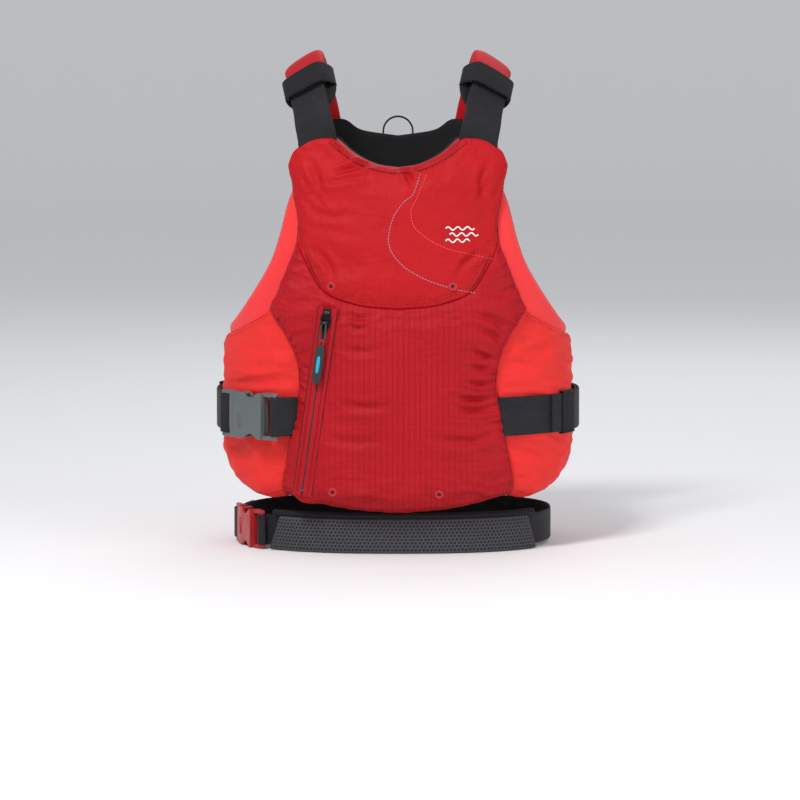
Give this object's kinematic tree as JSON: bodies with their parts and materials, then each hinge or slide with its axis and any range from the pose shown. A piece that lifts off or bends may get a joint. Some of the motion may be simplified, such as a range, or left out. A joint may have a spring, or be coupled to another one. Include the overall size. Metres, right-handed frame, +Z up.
{
  "type": "life jacket",
  "caption": "Side-entry paddling life jacket with foam front and back panels, shoulder straps, side-release side strap and padded waist belt.",
  "frame": {"origin": "middle of the jacket in plan, at the height of the waist belt's lower edge", "axes": "+Z up to the shoulders, -Y out of the chest, +X to the wearer's left"},
  "size_m": [0.3628, 0.2708, 0.4832],
  "materials": {
    "foam": "closed-cell foam, matte",
    "red_ripstop": "coated ripstop nylon, satin",
    "bright_ripstop": "coated ripstop nylon, satin",
    "stretch_binding": "stretch knit, satin",
    "lining": "knit mesh, matte",
    "spacer_mesh": "open spacer mesh, matte",
    "neoprene": "fabric-faced, matte",
    "grey_plastic": "moulded, fine grain",
    "red_plastic": "moulded, semi-gloss",
    "black_metal": "semi-gloss",
    "grey_metal": "satin",
    "black_rubber": "soft moulded",
    "blue_rubber": "soft moulded",
    "red_cord": "braided",
    "black_plastic": "moulded coil",
    "black_webbing": "ribbed polyester webbing"
  },
  "bodies": {
    "jacket": {"chest_cover": "red_ripstop", "chest_foam": "foam", "pocket_cover": "red_ripstop", "front_foam": "foam", "front_lining": "lining", "right_wing_cover": "bright_ripstop", "left_wing_cover": "bright_ripstop", "right_wing_foam": "foam", "left_wing_foam": "foam", "right_armhole_band": "stretch_binding", "left_armhole_band": "stretch_binding", "drain_grommets": "red_plastic", "lower_back_cover": "red_ripstop", "upper_back_cover": "red_ripstop", "lower_back_foam": "foam", "upper_back_foam": "foam", "back_lining": "lining", "right_back_wing": "bright_ripstop", "left_back_wing": "bright_ripstop", "hang_loop": "black_webbing", "right_shoulder_yoke": "red_ripstop", "left_shoulder_yoke": "red_ripstop", "right_yoke_loop": "black_webbing", "left_yoke_loop": "black_webbing", "right_shoulder_lock": "grey_plastic", "left_shoulder_lock": "grey_plastic", "right_shoulder_strap": "black_webbing", "left_shoulder_strap": "black_webbing", "right_shoulder_pad": "neoprene", "left_shoulder_pad": "neoprene", "side_strap_front": "black_webbing", "side_strap_rear": "black_webbing", "side_strap_keeper": "black_webbing", "side_buckle_socket": "grey_plastic", "left_side_strap": "black_webbing", "left_strap_keeper": "black_webbing", "left_rear_strap": "black_webbing", "belt_front_pad": "spacer_mesh", "belt_back_pad": "spacer_mesh", "belt_binding": "black_webbing", "belt_web_front": "black_webbing", "belt_web_back": "black_webbing", "belt_buckle_socket": "red_plastic", "zip_tape": "black_webbing", "zip_coil": "black_plastic", "zip_stops": "grey_metal"},
    "zip_slider": {"zip_slider": "black_metal"},
    "zip_pull": {"zip_pull_link": "grey_metal", "zip_pull_cord": "red_cord", "zip_pull_tab": "black_rubber", "zip_pull_inlay": "blue_rubber"},
    "side_plug": {"side_buckle_plug": "grey_plastic"},
    "side_upper_prong": {"side_upper_prong": "grey_plastic"},
    "side_lower_prong": {"side_lower_prong": "grey_plastic"},
    "belt_plug": {"belt_buckle_plug": "red_plastic"},
    "belt_upper_prong": {"belt_upper_prong": "red_plastic"},
    "belt_lower_prong": {"belt_lower_prong": "red_plastic"},
    "right_sleeve": {"right_strap_sleeve": "neoprene"},
    "left_sleeve": {"left_strap_sleeve": "neoprene"},
    "left_lock": {"left_side_lock": "grey_plastic"}
  },
  "joints": [
    {"name": "zip_travel", "type": "slide", "parent": "jacket", "child": "zip_slider", "axis": [-0.1385, 0.0393, -0.9896], "range_m": [0, 0.15]},
    {"name": "zip_pull_swing", "type": "hinge", "parent": "zip_slider", "child": "zip_pull", "pos_m": [-0.07143, -0.1324, 0.22905], "axis": [-0.9519, 0.2705, 0.1439], "range_deg": [0, 150]},
    {"name": "side_buckle_release", "type": "slide", "parent": "jacket", "child": "side_plug", "axis": [-0.714, 0.7002, 0], "range_m": [0, 0.032], "deforming": ["side_strap_rear"]},
    {"name": "side_upper_prong_flex", "type": "hinge", "parent": "side_plug", "child": "side_upper_prong", "pos_m": [-0.1589, -0.07706, 0.1499], "axis": [0.7002, 0.714, 0], "range_deg": [0, 8.3]},
    {"name": "side_lower_prong_flex", "type": "hinge", "parent": "side_plug", "child": "side_lower_prong", "pos_m": [-0.1589, -0.07706, 0.1201], "axis": [-0.7002, -0.714, 0], "range_deg": [0, 8.3]},
    {"name": "belt_buckle_release", "type": "slide", "parent": "jacket", "child": "belt_plug", "axis": [-0.3417, 0.9398, 0], "range_m": [0, 0.032], "deforming": ["belt_web_back"]},
    {"name": "belt_upper_prong_flex", "type": "hinge", "parent": "belt_plug", "child": "belt_upper_prong", "pos_m": [-0.15475, -0.01897, 0.0299], "axis": [0.9398, 0.3417, 0], "range_deg": [0, 8.3]},
    {"name": "belt_lower_prong_flex", "type": "hinge", "parent": "belt_plug", "child": "belt_lower_prong", "pos_m": [-0.15475, -0.01897, 0.0081], "axis": [-0.9398, -0.3417, 0], "range_deg": [0, 8.3]},
    {"name": "right_sleeve_slide", "type": "hinge", "parent": "jacket", "child": "right_sleeve", "pos_m": [-0.074, 0.00483, 0.377], "axis": [0.9703, 0, 0.2419], "range_deg": [0, 17]},
    {"name": "left_sleeve_slide", "type": "hinge", "parent": "jacket", "child": "left_sleeve", "pos_m": [0.074, 0.00483, 0.377], "axis": [0.9703, 0, -0.2419], "range_deg": [0, 17]},
    {"name": "left_lock_tilt", "type": "hinge", "parent": "jacket", "child": "left_lock", "pos_m": [0.13912, 0.10563, 0.135], "axis": [0, 0, 1], "range_deg": [0, 25], "deforming": ["left_side_strap"]}
  ],
  "couplings": [
    {"joint": "side_upper_prong_flex", "follows": "side_buckle_release", "rad_per_m": 4.5},
    {"joint": "side_lower_prong_flex", "follows": "side_buckle_release", "rad_per_m": 4.5},
    {"joint": "belt_upper_prong_flex", "follows": "belt_buckle_release", "rad_per_m": 4.5},
    {"joint": "belt_lower_prong_flex", "follows": "belt_buckle_release", "rad_per_m": 4.5}
  ]
}
